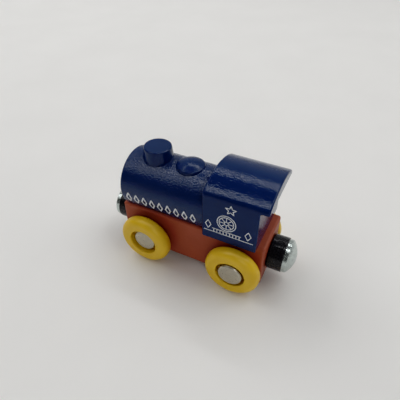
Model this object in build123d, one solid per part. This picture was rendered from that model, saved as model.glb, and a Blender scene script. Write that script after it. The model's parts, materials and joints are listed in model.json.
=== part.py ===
"""Wooden railway engine: a painted block chassis with a dowel boiler and an arched cab glued on top.

Four plastic wheels turn on flat-headed pins pressed into the chassis, and a magnetic coupler turns
on a headed stud at each end.

Frame: millimetres, +X forward, +Y to the engine's left, +Z up. The origin is on the track
surface, below the middle of the engine.
"""
from build123d import *
import os
from math import cos, radians, sin, sqrt

# ---- chassis block
CHASSIS_LENGTH = 55.4
CHASSIS_WIDTH = 18.8
CHASSIS_BOTTOM = 2.6
CHASSIS_TOP = 20.8
CHASSIS_EDGE = 0.9

# ---- cab: a block wider than the chassis, with an arched roof that overhangs its rear face
CAB_WIDTH = 24.0
CAB_FRONT_X = -6.1
CAB_REAR_X = -25.2
ROOF_REAR_X = -28.0
ROOF_TOP = 43.05
ROOF_RADIUS = 22.0
ROOF_SHOULDER = 2.0
EAVE_Z = 38.0
EAVE_FILLET = 0.8
CAB_EDGE = 0.6
EAVE_EDGE = 0.5

# ---- boiler: a dowel with a flat below, glued to the chassis and against the cab
BOILER_RADIUS = 11.15
BOILER_AXIS_Z = 28.05
BOILER_FRONT_X = 26.7
BOILER_EDGE = 0.8

# ---- funnel and steam dome: pegs in flat-bottomed holes in the boiler
FUNNEL_X = 16.4
FUNNEL_TOP = 43.3
FUNNEL_BASE_RADIUS = 5.35
FUNNEL_TOP_RADIUS = 4.85
FUNNEL_EDGE = 0.5
DOME_X = 3.7
DOME_RIM_Z = 39.3
DOME_CROWN = 1.25
DOME_RADIUS = 5.05
DOME_EDGE = 0.8
PEG_RADIUS = 3.0
PEG_FLOOR_Z = 32.0
PEG_SHOULDER_Z = 34.0

# ---- wheels, in plastic, each with a round recess for its pin's head
WHEEL_RADIUS = 9.95
WHEEL_WIDTH = 4.6
WHEEL_OUTER_ROUND = 2.3
WHEEL_INNER_ROUND = 1.5
RECESS_RADIUS = 5.3
RECESS_DEPTH = 2.9
RECESS_EDGE = 0.4
FRONT_AXLE_X = 16.3
REAR_AXLE_X = -18.35

# ---- axle pins
PIN_RADIUS = 1.5
PIN_HEAD_RADIUS = 4.5
PIN_HEAD_THICKNESS = 1.2
PIN_HEAD_EDGE = 0.85
PIN_DEPTH = 7.5
RUNNING_CLEARANCE = 0.06

# ---- how far out from the middle each wheel's outer face has slid along its pin, and each pin's face
WHEEL_FACE_Y = {
    ("front", "left"): 15.9,
    ("front", "right"): 15.9,
    ("rear", "left"): 15.7,
    ("rear", "right"): 14.15,
}
PIN_FACE_Y = {
    ("front", "left"): 14.9,
    ("front", "right"): 14.9,
    ("rear", "left"): 15.9,
    ("rear", "right"): 14.4,
}

# ---- couplers
COUPLER_AXIS_Z = 11.8
COUPLER_GAP = 0.3
HOUSING_RADIUS = 6.3
HOUSING_LENGTH = 5.4
HOUSING_EDGE = 0.35
HOUSING_WALL = 1.3
CAVITY_RADIUS = 3.4
CAVITY_DEPTH = 1.8
MAGNET_RADIUS = 4.9
MAGNET_HOLE_RADIUS = 1.2
CAP_RADIUS = 6.0
CAP_RIM = 1.3
CAP_HEIGHT = 3.7
STUD_RADIUS = 1.5
STUD_HEAD_RADIUS = 2.9
STUD_HEAD_THICKNESS = 1.0
STUD_DEPTH = 7.0

# ---- snap tongues moulded in each coupler housing: a U-shaped groove around a small tab
TONGUE_ANGLE = 73
TONGUE_LENGTH = 2.5
TONGUE_WIDTH = 2.8
TONGUE_END_MARGIN = 0.9
GROOVE_WIDTH = 0.35
GROOVE_DEPTH = 0.4

# ---- glue dowels hidden between the chassis and the blocks on it
DOWEL_RADIUS = 2.0
DOWEL_HALF_LENGTH = 6.5
DOWEL_EDGE = 0.3
BOILER_DOWEL_X = (21.0, 3.0)
CAB_DOWEL_X = (-11.0, -19.5)

ENDS = {"front": 1, "rear": -1}
SIDES = {"left": 1, "right": -1}
AXLE_X = {"front": FRONT_AXLE_X, "rear": REAR_AXLE_X}
FROM_START = (Align.CENTER, Align.CENTER, Align.MIN)


def rod(start, direction, radius, length):
    """A cylinder that starts at a point and runs along a direction."""
    return Plane(origin=start, z_dir=direction) * Cylinder(radius, length, align=FROM_START)


def rim_edges(solid, radius, axis=Axis.Z):
    """The circular edges of one radius, from the lowest to the highest along an axis."""
    circles = solid.edges().filter_by(GeomType.CIRCLE)
    return circles.filter_by(lambda edge: abs(edge.radius - radius) < 1e-4).sort_by(axis)


def axle_plane(end, side, face_y):
    """Local +Z points out of the engine's side, with its origin on the axle at that distance."""
    return Plane(
        origin=(AXLE_X[end], SIDES[side] * face_y, WHEEL_RADIUS), z_dir=(0, SIDES[side], 0)
    )


def coupler_plane(end, distance=0.0):
    """Local +Z points out of the engine's end, starting at the chassis's end face."""
    return Plane(
        origin=(ENDS[end] * (CHASSIS_LENGTH / 2 + distance), 0, COUPLER_AXIS_Z),
        x_dir=(0, 1, 0),
        z_dir=(ENDS[end], 0, 0),
    )


# ---------------------------------------------------------------- wooden body
def glue_dowels(positions):
    """Short dowels, half in the chassis and half in the block above it."""
    dowels = []
    for x in positions:
        base = (x, 0, CHASSIS_TOP - DOWEL_HALF_LENGTH)
        dowel = rod(base, (0, 0, 1), DOWEL_RADIUS, 2 * DOWEL_HALF_LENGTH)
        dowels.append(chamfer(dowel.edges().filter_by(GeomType.CIRCLE), DOWEL_EDGE))
    return dowels


def dowel_holes(positions):
    holes = []
    for x in positions:
        base = (x, 0, CHASSIS_TOP - DOWEL_HALF_LENGTH)
        holes.append(rod(base, (0, 0, 1), DOWEL_RADIUS, 2 * DOWEL_HALF_LENGTH))
    return holes


def make_chassis():
    height = CHASSIS_TOP - CHASSIS_BOTTOM
    block = Pos(0, 0, CHASSIS_BOTTOM) * Box(CHASSIS_LENGTH, CHASSIS_WIDTH, height, align=FROM_START)
    block = fillet(block.edges(), CHASSIS_EDGE)
    for end in ENDS:
        for side in SIDES:
            mouth = axle_plane(end, side, CHASSIS_WIDTH / 2)
            block -= mouth * Cylinder(PIN_RADIUS, 2 * PIN_DEPTH)
        block -= coupler_plane(end) * Cylinder(STUD_RADIUS, 2 * STUD_DEPTH)
    block -= dowel_holes(BOILER_DOWEL_X + CAB_DOWEL_X)
    return block


def make_boiler():
    length = BOILER_FRONT_X - CAB_FRONT_X
    boiler = rod((CAB_FRONT_X, 0, BOILER_AXIS_Z), (1, 0, 0), BOILER_RADIUS, length)
    boiler = fillet(rim_edges(boiler, BOILER_RADIUS, Axis.X)[-1], BOILER_EDGE)
    below = Box(4 * length, 4 * BOILER_RADIUS, CHASSIS_TOP, align=FROM_START)
    boiler -= below
    for x, radius in ((FUNNEL_X, FUNNEL_BASE_RADIUS), (DOME_X, DOME_RADIUS)):
        boiler -= rod((x, 0, PEG_SHOULDER_Z), (0, 0, 1), radius, BOILER_RADIUS)
        boiler -= rod((x, 0, PEG_FLOOR_Z), (0, 0, 1), PEG_RADIUS, BOILER_RADIUS)
    boiler -= dowel_holes(BOILER_DOWEL_X)
    return boiler


def cab_section():
    """The cab seen from the front: straight sides under a shallow arched roof."""
    half = CAB_WIDTH / 2
    arch_drop = ROOF_RADIUS - sqrt(ROOF_RADIUS**2 - half**2)
    left_top = (half, ROOF_TOP - arch_drop)
    right_top = (-half, ROOF_TOP - arch_drop)
    outline = Polyline(left_top, (half, CHASSIS_TOP), (-half, CHASSIS_TOP), right_top)
    arch = ThreePointArc(left_top, (0, ROOF_TOP), right_top)
    section = make_face(outline + arch)
    shoulders = section.vertices().filter_by(lambda corner: corner.Y > EAVE_Z)
    return fillet(shoulders, ROOF_SHOULDER)


def make_cab():
    cab = Plane.YZ.offset(ROOF_REAR_X) * extrude(cab_section(), CAB_FRONT_X - ROOF_REAR_X)
    notch_depth = CAB_REAR_X - ROOF_REAR_X
    notch = Box(2 * notch_depth, 2 * CAB_WIDTH, 2 * (EAVE_Z - CHASSIS_TOP))
    cab -= Pos(ROOF_REAR_X, 0, CHASSIS_TOP) * notch

    def on_eave(x):
        return lambda edge: abs(edge.center().X - x) < 1e-4 and abs(edge.center().Z - EAVE_Z) < 1e-4

    cab = fillet(cab.edges().filter_by(on_eave(CAB_REAR_X)), EAVE_FILLET)
    # The front outline, the long bottom edges and the roof's rear outline lose their sharp edges.
    front_outline = cab.faces().sort_by(Axis.X)[-1].edges()
    rear_outline = cab.faces().sort_by(Axis.X)[0].edges()
    rear_arch = rear_outline.filter_by(lambda edge: edge.center().Z > EAVE_Z + 1e-4)
    bottom_sides = cab.faces().sort_by(Axis.Z)[0].edges().filter_by(Axis.X)
    cab = fillet(front_outline + rear_arch + bottom_sides, CAB_EDGE)
    cab = fillet(cab.edges().filter_by(on_eave(ROOF_REAR_X)), EAVE_EDGE)
    cab -= dowel_holes(CAB_DOWEL_X)
    return cab


def peg_tenon(x):
    """The thinner lower end of a peg, in the boiler below the peg's shoulder."""
    return rod((x, 0, PEG_FLOOR_Z), (0, 0, 1), PEG_RADIUS, PEG_SHOULDER_Z - PEG_FLOOR_Z)


def make_funnel():
    """A round peg that narrows above the boiler, with a thinner tenon below."""
    boiler_crest = BOILER_AXIS_Z + BOILER_RADIUS
    base = rod((FUNNEL_X, 0, PEG_SHOULDER_Z), (0, 0, 1), FUNNEL_BASE_RADIUS, boiler_crest - PEG_SHOULDER_Z)
    taper = Cone(FUNNEL_BASE_RADIUS, FUNNEL_TOP_RADIUS, FUNNEL_TOP - boiler_crest, align=FROM_START)
    taper = fillet(rim_edges(taper, FUNNEL_TOP_RADIUS)[-1], FUNNEL_EDGE)
    return base + Pos(FUNNEL_X, 0, boiler_crest) * taper + peg_tenon(FUNNEL_X)


def make_steam_dome():
    """A peg whose top is a low crown with a well rounded rim."""
    crown_radius = (DOME_RADIUS**2 + DOME_CROWN**2) / (2 * DOME_CROWN)
    top = DOME_RIM_Z + DOME_CROWN
    head = rod((DOME_X, 0, PEG_SHOULDER_Z), (0, 0, 1), DOME_RADIUS, top - PEG_SHOULDER_Z)
    head &= Pos(DOME_X, 0, top - crown_radius) * Sphere(crown_radius)
    head = fillet(rim_edges(head, DOME_RADIUS)[-1], DOME_EDGE)
    return head + peg_tenon(DOME_X)


# ---------------------------------------------------------------- running gear
def make_wheel(end, side):
    """A round-shouldered plastic wheel; its local z=0 is the outer face."""
    wheel = Pos(0, 0, -WHEEL_WIDTH) * Cylinder(WHEEL_RADIUS, WHEEL_WIDTH, align=FROM_START)
    wheel = fillet(rim_edges(wheel, WHEEL_RADIUS)[-1], WHEEL_OUTER_ROUND)
    wheel = fillet(wheel.edges().sort_by(Axis.Z)[0], WHEEL_INNER_ROUND)
    wheel -= Cylinder(RECESS_RADIUS, 2 * RECESS_DEPTH)
    wheel = fillet(rim_edges(wheel, RECESS_RADIUS)[-1], RECESS_EDGE)
    wheel -= Cylinder(PIN_RADIUS + RUNNING_CLEARANCE, 3 * WHEEL_WIDTH)
    return axle_plane(end, side, WHEEL_FACE_Y[end, side]) * wheel


def make_axle_pin(end, side):
    """A pin with a flat disc head; its shank reaches into the chassis."""
    face_y = PIN_FACE_Y[end, side]
    head = Pos(0, 0, -PIN_HEAD_THICKNESS) * Cylinder(PIN_HEAD_RADIUS, PIN_HEAD_THICKNESS, align=FROM_START)
    head = fillet(rim_edges(head, PIN_HEAD_RADIUS)[-1], PIN_HEAD_EDGE)
    shank_length = face_y - CHASSIS_WIDTH / 2 + PIN_DEPTH - PIN_HEAD_THICKNESS
    shank_end = -PIN_HEAD_THICKNESS - shank_length
    shank = Pos(0, 0, shank_end) * Cylinder(PIN_RADIUS, shank_length, align=FROM_START)
    return axle_plane(end, side, face_y) * (head + shank)


# ---------------------------------------------------------------- couplers
def tongue_groove():
    """A U-shaped groove around a tab, on a housing wall whose outward normal is local +Z."""
    outer = Box(TONGUE_LENGTH, TONGUE_WIDTH, 2 * GROOVE_DEPTH)
    tab = Pos(-GROOVE_WIDTH, 0, 0) * Box(TONGUE_LENGTH, TONGUE_WIDTH - 2 * GROOVE_WIDTH, 3 * GROOVE_DEPTH)
    return outer - tab


def make_coupler_housing(end):
    """A black plastic cup; its local z=0 is the face beside the chassis."""
    cup = Cylinder(HOUSING_RADIUS, HOUSING_LENGTH, align=FROM_START)
    cup = fillet(cup.edges().filter_by(GeomType.CIRCLE), HOUSING_EDGE)
    cup -= Cylinder(STUD_RADIUS + RUNNING_CLEARANCE, 3 * HOUSING_LENGTH)
    cup -= Pos(0, 0, HOUSING_WALL) * Cylinder(CAVITY_RADIUS, HOUSING_LENGTH, align=FROM_START)
    magnet_seat = HOUSING_WALL + CAVITY_DEPTH
    cup -= Pos(0, 0, magnet_seat) * Cylinder(MAGNET_RADIUS, HOUSING_LENGTH, align=FROM_START)
    middle = HOUSING_LENGTH - TONGUE_END_MARGIN - TONGUE_LENGTH / 2
    for angle in (TONGUE_ANGLE, TONGUE_ANGLE + 180):
        turn = radians(angle) * ENDS[end]
        normal = (cos(turn), sin(turn), 0)
        outside = (HOUSING_RADIUS * normal[0], HOUSING_RADIUS * normal[1], middle)
        wall = Plane(origin=outside, x_dir=(0, 0, 1), z_dir=normal)
        cup -= wall * tongue_groove()
    return coupler_plane(end, COUPLER_GAP) * cup


def make_coupler_magnet(end):
    """A ring magnet in the cup's mouth."""
    seat = HOUSING_WALL + CAVITY_DEPTH
    magnet = Pos(0, 0, seat) * Cylinder(MAGNET_RADIUS, HOUSING_LENGTH - seat, align=FROM_START)
    magnet -= Cylinder(MAGNET_HOLE_RADIUS, 3 * HOUSING_LENGTH)
    return coupler_plane(end, COUPLER_GAP) * magnet


def make_coupler_cap(end):
    """A domed steel pole cap over the magnet, with a spigot through the magnet's hole."""
    crown = CAP_HEIGHT - CAP_RIM
    crown_radius = (CAP_RADIUS**2 + crown**2) / (2 * crown)
    cap = Cylinder(CAP_RADIUS, CAP_HEIGHT, align=FROM_START)
    cap &= Pos(0, 0, CAP_HEIGHT - crown_radius) * Sphere(crown_radius)
    spigot_length = HOUSING_LENGTH - HOUSING_WALL - CAVITY_DEPTH
    spigot = Pos(0, 0, -spigot_length) * Cylinder(MAGNET_HOLE_RADIUS, spigot_length, align=FROM_START)
    return coupler_plane(end, COUPLER_GAP + HOUSING_LENGTH) * (cap + spigot)


def make_coupler_stud(end):
    """A headed stud in the chassis's end; the head is captive in the housing's cavity."""
    head_start = COUPLER_GAP + HOUSING_WALL + (CAVITY_DEPTH - STUD_HEAD_THICKNESS) / 2
    shank = Pos(0, 0, -STUD_DEPTH) * Cylinder(STUD_RADIUS, STUD_DEPTH + head_start, align=FROM_START)
    head = Pos(0, 0, head_start) * Cylinder(STUD_HEAD_RADIUS, STUD_HEAD_THICKNESS, align=FROM_START)
    return coupler_plane(end) * (shank + head)


def write(node, shape):
    solids = shape if isinstance(shape, list) else [shape]
    export_step(Compound(children=[Part(solid.wrapped) for solid in solids]), f"parts/{node}.step")


def main():
    os.makedirs("parts", exist_ok=True)
    write("chassis", make_chassis())
    write("boiler", make_boiler())
    write("cab", make_cab())
    write("funnel", make_funnel())
    write("steam_dome", make_steam_dome())
    write("boiler_dowels", glue_dowels(BOILER_DOWEL_X))
    write("cab_dowels", glue_dowels(CAB_DOWEL_X))
    for end in ENDS:
        write(f"coupler_housing_{end}", make_coupler_housing(end))
        write(f"coupler_magnet_{end}", make_coupler_magnet(end))
        write(f"coupler_cap_{end}", make_coupler_cap(end))
        write(f"coupler_stud_{end}", make_coupler_stud(end))
        for side in SIDES:
            write(f"wheel_{end}_{side}", make_wheel(end, side))
            write(f"axle_pin_{end}_{side}", make_axle_pin(end, side))


main()
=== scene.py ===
import json
import math

import bmesh
import bpy
from mathutils import Matrix, Vector


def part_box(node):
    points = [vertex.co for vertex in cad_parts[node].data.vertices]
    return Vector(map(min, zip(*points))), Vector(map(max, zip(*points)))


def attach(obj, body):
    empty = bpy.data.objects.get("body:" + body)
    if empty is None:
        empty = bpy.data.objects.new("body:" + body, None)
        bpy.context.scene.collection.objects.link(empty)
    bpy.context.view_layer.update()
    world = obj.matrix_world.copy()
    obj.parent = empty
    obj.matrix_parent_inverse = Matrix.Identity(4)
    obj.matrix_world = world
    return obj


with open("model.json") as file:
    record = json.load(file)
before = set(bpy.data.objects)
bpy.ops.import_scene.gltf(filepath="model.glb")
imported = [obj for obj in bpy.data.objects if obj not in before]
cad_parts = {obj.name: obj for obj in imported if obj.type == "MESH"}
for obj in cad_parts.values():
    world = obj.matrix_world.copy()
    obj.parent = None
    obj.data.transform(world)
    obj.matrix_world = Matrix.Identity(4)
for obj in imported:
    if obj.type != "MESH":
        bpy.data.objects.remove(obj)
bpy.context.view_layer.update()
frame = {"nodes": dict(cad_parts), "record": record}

MM = 0.001

# ---- camera: its place and target in the engine's own frame, and its lens, in millimetres
CAMERA_PLACE = (-44.0, 90.3, 112.7)
CAMERA_TARGET = (0.34, 0.0, 24.7)
CAMERA_ROLL = math.radians(-0.13)
CAMERA_LENS = 33.4
CAMERA_NEAREST = 10.0

# ---- places read from the frame, and the length of the cab's side wall, which its roof overhangs
CAB_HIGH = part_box("cab")[1]
CAB_WALL = 19.1 * MM
BOILER_LOW, BOILER_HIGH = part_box("boiler")
BOILER_RADIUS = BOILER_HIGH.y
BOILER_AXIS_Z = BOILER_HIGH.z - BOILER_RADIUS
SIDES = {"left": 1, "right": -1}

# ---- printed marks: white ink standing a few hundredths of a millimetre proud of the paint
INK_PROUD = 0.035 * MM
INK_SUNK = 0.05 * MM
INK_STEP = 0.35 * MM

# ---- the boiler's border, in millimetres: an even row of lozenges, placed by (distance from the left
# end as seen, height round the curve from the axis's level), each with a half width and half height
BORDER_COUNT = 9
BORDER_START = 3.4
BORDER_PITCH = 3.2
BORDER_HEIGHT = -2.2
BORDER_LOZENGE = (0.95, 2.2)
BORDER_STROKE = 0.5

# ---- the cab's emblem, in millimetres: a spoked wheel in a double ring on a length of track, under
# a star, with a lozenge at each side, placed by (distance from the left end as seen, height)
EMBLEM_STROKE = 0.3
WHEEL_CENTRE = (8.7, 29.9)
WHEEL_RINGS = (3.2, 2.5, 0.7)
RING_POINTS = 30
SPOKES = 8
STAR_CENTRE = (9.9, 35.9)
STAR_POINTS = 5
STAR_RADII = (1.9, 0.8)
RAIL_Z = 26.1
RAIL_ENDS = (3.9, 13.9)
GROUND_Z = 24.6
GROUND_ENDS = (0.9, 18.1)
SLEEPERS = 9
SIDE_LOZENGE_AT = (2.4, 16.2)
SIDE_LOZENGE_Z = 27.4
SIDE_LOZENGE = (1.0, 1.8)

# ---- colours, in linear light: each is a (darker, paler) pair that a noise mixes
ORANGE = ((0.375, 0.101, 0.059), (0.41, 0.113, 0.067))
NAVY = ((0.0085, 0.0285, 0.104), (0.0105, 0.0335, 0.118))
YELLOW = ((0.78, 0.5, 0.035), (0.83, 0.55, 0.045))
BLACK = ((0.015, 0.015, 0.02), (0.021, 0.021, 0.027))
NICKEL = ((0.47, 0.44, 0.37), (0.54, 0.505, 0.42))
ZINC = ((0.45, 0.5, 0.49), (0.62, 0.68, 0.66))
FERRITE = ((0.06, 0.06, 0.06), (0.09, 0.09, 0.09))
BEECH = ((0.45, 0.28, 0.15), (0.62, 0.42, 0.24))
WHITE_INK = ((0.33, 0.37, 0.46), (0.8, 0.82, 0.85))
TABLE = ((0.875, 0.868, 0.852), (0.895, 0.888, 0.872))

# ---- enamel skins: roughness, specular level, then the (size, depth) of the coarse wave and of the
# fine grit, in millimetres
ORANGE_SKIN = (0.5, 0.38, (2.0, 0.03), (0.6, 0.05))
NAVY_SKINS = {
    "cab": (0.09, 0.34, (2.6, 0.02), (0.5, 0.07)),
    "boiler": (0.17, 0.53, (2.0, 0.03), (0.5, 0.12)),
    "funnel": (0.16, 0.45, (2.0, 0.03), (0.6, 0.03)),
    "steam_dome": (0.24, 0.36, (1.6, 0.02), (0.6, 0.02)),
}

# ---- patterns: scales of the coordinates that draw a pattern out along one axis, and the range that
# holds most of a noise's values
GRAIN_ALONG_X = (0.8, 1.0, 1.0)
GRAIN_ALONG_Z = (1.0, 1.0, 0.1)
NOISE_RANGE = (0.3, 0.7)

# ---- edges that turn by more than this stay sharp in the shading
SHARP_ANGLE = math.radians(35)

# ---- half the width of the table, in metres
TABLE_REACH = 1.5

# ---- four flat bars make a rectangle over the engine: name, x range, y range in metres, radiance,
# and whether the bar lights surfaces as well as shining in them
BAR_HEIGHT = 0.7
LIGHT_BARS = (
    ("bar_near", (-0.2, 0.36), (0.06, 0.13), 6.4, False),
    ("bar_far", (-0.2, 0.36), (-0.47, -0.41), 8.2, True),
    ("bar_front", (0.36, 0.42), (-0.34, 0.05), 3.8, True),
    ("bar_rear", (-0.28, -0.22), (-0.34, 0.05), 3.2, True),
)

# ---- softer panels face the engine from further off: name, direction, size in metres, radiance, and
# whether the panel shows in reflections
PANEL_DISTANCE = 1.2
LIGHT_PANELS = (
    ("panel_front", (0.5, 0.4, 0.77), 0.45, 1.7, True),
    ("panel_camera", (-0.45, 0.7, 0.55), 0.45, 3.0, True),
    ("panel_left", (0.72, -0.2, 0.66), 0.9, 1.75, False),
    ("panel_rear", (-0.5, -0.3, 0.81), 0.8, 1.45, True),
)

# ---- grey of the surroundings by the angle seen across the engine, in degrees, from the camera's
# side over the top to the far side, and how much blue it has beside its red
ROOM = ((0, 0.12), (50, 0.1), (72, 0.09), (110, 0.09), (128, 0.36), (150, 0.42), (180, 0.46))
ROOM_BLUE = 0.98

# ---- the tone curve, from scene light to picture light: deep shadows fall almost to black; the
# fourth of the curves acts on all three colours
TONE_CURVE = (
    (0.0, 0.0), (0.008, 0.0005), (0.0165, 0.0037), (0.033, 0.0115),
    (0.065, 0.041), (0.12, 0.098), (0.3, 0.285), (1.0, 1.0),
)
COMBINED_CURVE = 3


# ================================================================ node helpers
def new_material(name):
    """A new material, with its node tree and its Principled shader."""
    material = bpy.data.materials.new(name)
    material.use_nodes = True
    tree = material.node_tree
    return material, tree, tree.nodes["Principled BSDF"]


def add(tree, kind, **inputs):
    """A node of one kind, with its unlinked inputs."""
    node = tree.nodes.new(kind)
    for key, value in inputs.items():
        node.inputs[key].default_value = value
    return node


def object_coordinates(tree, scale=(1.0, 1.0, 1.0)):
    """The piece's own coordinates, in metres, scaled along the axes."""
    place = add(tree, "ShaderNodeTexCoord")
    mapping = add(tree, "ShaderNodeMapping", Scale=scale)
    tree.links.new(place.outputs["Object"], mapping.inputs["Vector"])
    return mapping.outputs["Vector"]


def noise(tree, vector, size, detail=3.0, roughness=0.5):
    """Noise whose lumps are about one size across, in metres."""
    node = add(tree, "ShaderNodeTexNoise", Scale=1.0 / size, Detail=detail, Roughness=roughness)
    tree.links.new(vector, node.inputs["Vector"])
    return node.outputs["Fac"]


def spread(tree, value, low, high, across=NOISE_RANGE):
    """Maps a value across one range onto the range from low to high, held at its ends."""
    node = add(tree, "ShaderNodeMapRange")
    for key, number in zip(("From Min", "From Max", "To Min", "To Max"), (*across, low, high)):
        node.inputs[key].default_value = number
    tree.links.new(value, node.inputs["Value"])
    return node.outputs["Result"]


def colour_by(tree, shader, pattern, colours, across=NOISE_RANGE):
    """Mixes a pair of colours by a noise pattern into the shader's base colour."""
    node = add(tree, "ShaderNodeMix")
    node.data_type = "RGBA"
    tree.links.new(spread(tree, pattern, 0.0, 1.0, across), node.inputs["Factor"])
    colour_inputs = [socket for socket in node.inputs if socket.type == "RGBA"]
    for socket, colour in zip(colour_inputs, colours):
        socket.default_value = (*colour, 1.0)
    mixed = next(socket for socket in node.outputs if socket.type == "RGBA")
    tree.links.new(mixed, shader.inputs["Base Color"])


def roughness_by(tree, shader, pattern, roughness, less, more):
    """Varies the shader's roughness by a noise pattern, from a little less to a little more."""
    tree.links.new(spread(tree, pattern, roughness - less, roughness + more), shader.inputs["Roughness"])


def bump(tree, height, depth, under=None):
    """Bump whose full height is a depth in metres; it may lie over another bump."""
    node = add(tree, "ShaderNodeBump", Distance=depth)
    tree.links.new(height, node.inputs["Height"])
    if under is not None:
        tree.links.new(under, node.inputs["Normal"])
    return node.outputs["Normal"]


# ================================================================ materials
def enamel(name, colours, skin):
    """Enamel sprayed over wood, with a coarse wave and a fine grit."""
    roughness, specular, (wave_size, wave_depth), (grit_size, grit_depth) = skin
    material, tree, shader = new_material(name)
    place = object_coordinates(tree, GRAIN_ALONG_X)
    clouds = noise(tree, place, size=6 * MM, detail=2.0)
    speckle = noise(tree, place, size=0.55 * MM, detail=4.0, roughness=0.6)
    wave = noise(tree, place, wave_size * MM, detail=1.0)
    grit = noise(tree, place, grit_size * MM, detail=1.0)
    colour_by(tree, shader, clouds, colours)
    roughness_by(tree, shader, speckle, roughness, less=0.04, more=0.05)
    coarse = bump(tree, wave, wave_depth * MM)
    fine = bump(tree, grit, grit_depth * MM, under=coarse)
    tree.links.new(fine, shader.inputs["Normal"])
    shader.inputs["Specular IOR Level"].default_value = specular
    return material


def moulded_plastic(name, colours, roughness):
    """Smooth moulded plastic with slight flow ripples and scuffs."""
    material, tree, shader = new_material(name)
    place = object_coordinates(tree)
    clouds = noise(tree, place, size=5 * MM, detail=2.0)
    scuffs = noise(tree, place, size=0.7 * MM, detail=5.0, roughness=0.65)
    ripples = noise(tree, place, size=2.2 * MM, detail=2.0)
    colour_by(tree, shader, clouds, colours)
    roughness_by(tree, shader, scuffs, roughness, less=0.06, more=0.08)
    tree.links.new(bump(tree, ripples, depth=0.03 * MM), shader.inputs["Normal"])
    return material


def pitted_metal(name, colours, roughness, pit_size, pit_depth):
    """Plated steel or a sintered magnet: a soft metal shine, mottled and finely pitted."""
    material, tree, shader = new_material(name)
    place = object_coordinates(tree)
    mottle = noise(tree, place, size=1.4 * MM, detail=4.0, roughness=0.6)
    pits = noise(tree, place, pit_size * MM, detail=4.0, roughness=0.6)
    colour_by(tree, shader, mottle, colours)
    roughness_by(tree, shader, pits, roughness, less=0.08, more=0.1)
    tree.links.new(bump(tree, pits, pit_depth * MM), shader.inputs["Normal"])
    shader.inputs["Metallic"].default_value = 1.0
    return material


def screen_ink():
    """White screen-print ink, a little thin in places."""
    material, tree, shader = new_material("white_ink")
    cover = noise(tree, object_coordinates(tree), size=0.5 * MM, detail=4.0, roughness=0.65)
    colour_by(tree, shader, cover, WHITE_INK, across=(0.32, 0.5))
    roughness_by(tree, shader, cover, 0.5, less=0.1, more=0.1)
    return material


def bare_wood():
    """Beech, with its grain along the dowel."""
    material, tree, shader = new_material("beech")
    grain = noise(tree, object_coordinates(tree, GRAIN_ALONG_Z), size=0.5 * MM, detail=5.0)
    colour_by(tree, shader, grain, BEECH)
    tree.links.new(bump(tree, grain, depth=0.02 * MM), shader.inputs["Normal"])
    shader.inputs["Roughness"].default_value = 0.6
    return material


def table_top():
    """A pale matt table, very slightly mottled."""
    material, tree, shader = new_material("table_top")
    mottle = noise(tree, object_coordinates(tree), size=40 * MM)
    colour_by(tree, shader, mottle, TABLE)
    shader.inputs["Roughness"].default_value = 0.6
    shader.inputs["Specular IOR Level"].default_value = 0.25
    return material


def make_finishes():
    """Materials by the name of their slot, and for the navy pieces by the name of their node."""
    finishes = {
        "orange_paint": enamel("orange_enamel", ORANGE, ORANGE_SKIN),
        "yellow_plastic": moulded_plastic("yellow_plastic", YELLOW, 0.35),
        "black_plastic": moulded_plastic("black_plastic", BLACK, 0.25),
        "nickel_steel": pitted_metal("nickel_steel", NICKEL, 0.32, pit_size=0.4, pit_depth=0.003),
        "zinc_steel": pitted_metal("zinc_steel", ZINC, 0.22, pit_size=0.5, pit_depth=0.04),
        "magnet": pitted_metal("ferrite", FERRITE, 0.6, pit_size=0.3, pit_depth=0.01),
        "beech": bare_wood(),
    }
    for node, skin in NAVY_SKINS.items():
        finishes[node] = enamel(f"navy_enamel_{node}", NAVY, skin)
    return finishes


def finish_cad_nodes(finishes):
    """Gives each carried-over part its material and smooth shading between its sharp edges."""
    slots = {part["node"]: part["material_slot"] for part in frame["record"]["subparts"]}
    for name, node in frame["nodes"].items():
        node.data.materials.clear()
        node.data.materials.append(finishes[name] if name in finishes else finishes[slots[name]])
        node.data.shade_smooth()
        node.data.set_sharp_from_angle(angle=SHARP_ANGLE)


# ================================================================ printed marks
def on_cab_side(side):
    """Maps (distance from the left end as seen, height) onto one side wall of the cab."""
    def place(across, height, lift):
        x = CAB_HIGH.x - (across if side > 0 else CAB_WALL - across)
        return Vector((x, side * (CAB_HIGH.y + lift), height))

    return place


def on_boiler_side(side):
    """Maps (distance from the left end as seen, height round the curve) onto one side of the boiler."""
    def place(across, height, lift):
        x = BOILER_HIGH.x - across if side > 0 else BOILER_LOW.x + across
        turn = height / BOILER_RADIUS
        radius = BOILER_RADIUS + lift
        return Vector((x, side * radius * math.cos(turn), BOILER_AXIS_Z + radius * math.sin(turn)))

    return place


def resample(points, closed):
    """Points along a route at about equal steps, with its corners kept."""
    route = [Vector(point) for point in points]
    if closed:
        route.append(route[0])
    made = []
    for start, end in zip(route, route[1:]):
        count = max(1, math.ceil((end - start).length / INK_STEP))
        made += [start.lerp(end, index / count) for index in range(count)]
    if not closed:
        made.append(route[-1])
    return made


def stroke_sides(points, width, closed):
    """The left and right edge of a stroke of even width."""
    count = len(points)
    lefts, rights = [], []
    for index, point in enumerate(points):
        before = points[index - 1] if index or closed else point
        after = points[(index + 1) % count] if index + 1 < count or closed else point
        along = (after - before).normalized()
        out = Vector((-along.y, along.x)) * width / 2
        lefts.append(point + out)
        rights.append(point - out)
    return lefts, rights


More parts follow.
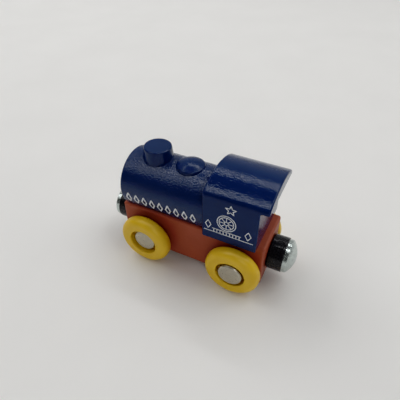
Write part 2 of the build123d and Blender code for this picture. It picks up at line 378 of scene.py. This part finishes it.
def add_stroke(mesh, points, closed, width, place):
    """A thin strip along a stroke, partly sunk in the surface that place maps onto."""
    lefts, rights = stroke_sides(resample(points, closed), width, closed)
    rows = []
    for left, right in zip(lefts, rights):
        corners = (
            place(left.x, left.y, INK_PROUD),
            place(right.x, right.y, INK_PROUD),
            place(right.x, right.y, -INK_SUNK),
            place(left.x, left.y, -INK_SUNK),
        )
        rows.append([mesh.verts.new(corner) for corner in corners])
    pairs = list(zip(rows, rows[1:]))
    if closed:
        pairs.append((rows[-1], rows[0]))
    for one, two in pairs:
        for corner in range(4):
            after = (corner + 1) % 4
            mesh.faces.new((one[corner], one[after], two[after], two[corner]))
    if not closed:
        mesh.faces.new(rows[0][::-1])
        mesh.faces.new(rows[-1])


def new_piece(name, mesh, material):
    """An object made from a bmesh, which is freed."""
    data = bpy.data.meshes.new(name)
    mesh.to_mesh(data)
    mesh.free()
    data.materials.append(material)
    piece = bpy.data.objects.new(name, data)
    bpy.context.scene.collection.objects.link(piece)
    return piece


def ink_piece(name, strokes, width, place, ink):
    """One thin raised mesh for a set of strokes: each is (points in millimetres, closed)."""
    mesh = bmesh.new()
    for points, closed in strokes:
        sized = [(across * MM, height * MM) for across, height in points]
        add_stroke(mesh, sized, closed, width * MM, place)
    bmesh.ops.recalc_face_normals(mesh, faces=mesh.faces)
    piece = new_piece(name, mesh, ink)
    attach(piece, "engine")


def on_circle(centre, radius, degrees):
    angle = math.radians(degrees)
    return (centre[0] + radius * math.cos(angle), centre[1] + radius * math.sin(angle))


def ring(centre, radius):
    return [on_circle(centre, radius, 360 * index / RING_POINTS) for index in range(RING_POINTS)]


def star(centre, radii, points):
    """A star's outline, with its first point upwards."""
    return [on_circle(centre, radii[index % 2], 90 + 180 * index / points) for index in range(2 * points)]


def lozenge(centre, half_width, half_height):
    x, y = centre
    return ((x, y + half_height), (x + half_width, y), (x, y - half_height), (x - half_width, y))


def boiler_border(name, side, ink):
    strokes = []
    for index in range(BORDER_COUNT):
        centre = (BORDER_START + index * BORDER_PITCH, BORDER_HEIGHT)
        strokes.append((lozenge(centre, *BORDER_LOZENGE), True))
    ink_piece(name, strokes, BORDER_STROKE, on_boiler_side(side), ink)


def cab_emblem(name, side, ink):
    strokes = [(ring(WHEEL_CENTRE, radius), True) for radius in WHEEL_RINGS]
    inner, hub = WHEEL_RINGS[1:]
    for index in range(SPOKES):
        turn = 360 * index / SPOKES
        spoke = (on_circle(WHEEL_CENTRE, hub, turn), on_circle(WHEEL_CENTRE, inner, turn))
        strokes.append((spoke, False))
    strokes.append((star(STAR_CENTRE, STAR_RADII, STAR_POINTS), True))
    for z, (start, end) in ((RAIL_Z, RAIL_ENDS), (GROUND_Z, GROUND_ENDS)):
        strokes.append((((start, z), (end, z)), False))
    pitch = (RAIL_ENDS[1] - RAIL_ENDS[0]) / SLEEPERS
    for index in range(SLEEPERS):
        x = RAIL_ENDS[0] + (index + 0.5) * pitch
        strokes.append((((x, RAIL_Z), (x, GROUND_Z)), False))
    for x in SIDE_LOZENGE_AT:
        strokes.append((lozenge((x, SIDE_LOZENGE_Z), *SIDE_LOZENGE), True))
    ink_piece(name, strokes, EMBLEM_STROKE, on_cab_side(side), ink)


# ================================================================ table, light and camera
def make_table():
    mesh = bmesh.new()
    corners = ((-1, -1), (1, -1), (1, 1), (-1, 1))
    mesh.faces.new([mesh.verts.new((x * TABLE_REACH, y * TABLE_REACH, 0.0)) for x, y in corners])
    new_piece("table", mesh, table_top())


def make_light(name, place, size_x, size_y, radiance):
    """An area light that faces straight down and that the camera does not see."""
    light = bpy.data.lights.new(name, "AREA")
    light.shape = "RECTANGLE"
    light.size = size_x
    light.size_y = size_y
    light.energy = radiance * math.pi * size_x * size_y
    lamp = bpy.data.objects.new(name, light)
    lamp.location = place
    lamp.visible_camera = False
    bpy.context.scene.collection.objects.link(lamp)
    return lamp


def make_lights():
    for name, across_x, across_y, radiance, lights in LIGHT_BARS:
        place = (sum(across_x) / 2, sum(across_y) / 2, BAR_HEIGHT)
        lamp = make_light(name, place, across_x[1] - across_x[0], across_y[1] - across_y[0], radiance)
        lamp.visible_diffuse = lights
    for name, direction, size, radiance, reflected in LIGHT_PANELS:
        towards = Vector(direction).normalized()
        lamp = make_light(name, towards * PANEL_DISTANCE, size, size, radiance)
        lamp.rotation_euler = towards.to_track_quat("Z", "Y").to_euler()
        lamp.visible_glossy = reflected


def make_room():
    """Dim surroundings: pale walls behind the engine, darker overhead and on the camera's side."""
    world = bpy.data.worlds.new("room")
    bpy.context.scene.world = world
    world.use_nodes = True
    tree = world.node_tree
    place = add(tree, "ShaderNodeTexCoord")
    split = add(tree, "ShaderNodeSeparateXYZ")
    tree.links.new(place.outputs["Generated"], split.inputs["Vector"])
    angle = add(tree, "ShaderNodeMath")
    angle.operation = "ARCTAN2"
    tree.links.new(split.outputs["Z"], angle.inputs[0])
    tree.links.new(split.outputs["Y"], angle.inputs[1])
    ramp = add(tree, "ShaderNodeValToRGB")
    stops = ramp.color_ramp.elements
    while len(stops) < len(ROOM):
        stops.new(1.0)
    for stop, (degrees, grey) in zip(stops, ROOM):
        stop.position = degrees / 180
        stop.color = (grey, grey, grey * ROOM_BLUE, 1.0)
    tree.links.new(spread(tree, angle.outputs["Value"], 0.0, 1.0, (0.0, math.pi)), ramp.inputs["Fac"])
    tree.links.new(ramp.outputs["Color"], tree.nodes["Background"].inputs["Color"])


def set_tone_curve():
    view = bpy.context.scene.view_settings
    view.view_transform = "Standard"
    view.use_curve_mapping = True
    curve = view.curve_mapping.curves[COMBINED_CURVE]
    while len(curve.points) < len(TONE_CURVE):
        curve.points.new(0.5, 0.5)
    for point, (before, after) in zip(curve.points, TONE_CURVE):
        point.location = (before, after)
        point.handle_type = "VECTOR"
    view.curve_mapping.update()


def make_camera():
    data = bpy.data.cameras.new("camera")
    data.lens = CAMERA_LENS
    data.clip_start = CAMERA_NEAREST * MM
    camera = bpy.data.objects.new("camera", data)
    place = Vector(CAMERA_PLACE) * MM
    look = Vector(CAMERA_TARGET) * MM - place
    turn = look.to_track_quat("-Z", "Y").to_matrix().to_4x4()
    camera.matrix_world = Matrix.Translation(place) @ turn @ Matrix.Rotation(CAMERA_ROLL, 4, "Z")
    bpy.context.scene.collection.objects.link(camera)
    bpy.context.scene.camera = camera


make_camera()
make_table()
make_room()
make_lights()
set_tone_curve()

finish_cad_nodes(make_finishes())
ink = screen_ink()
for side_name, side in SIDES.items():
    boiler_border(f"boiler_border_{side_name}", side, ink)
    cab_emblem(f"cab_emblem_{side_name}", side, ink)
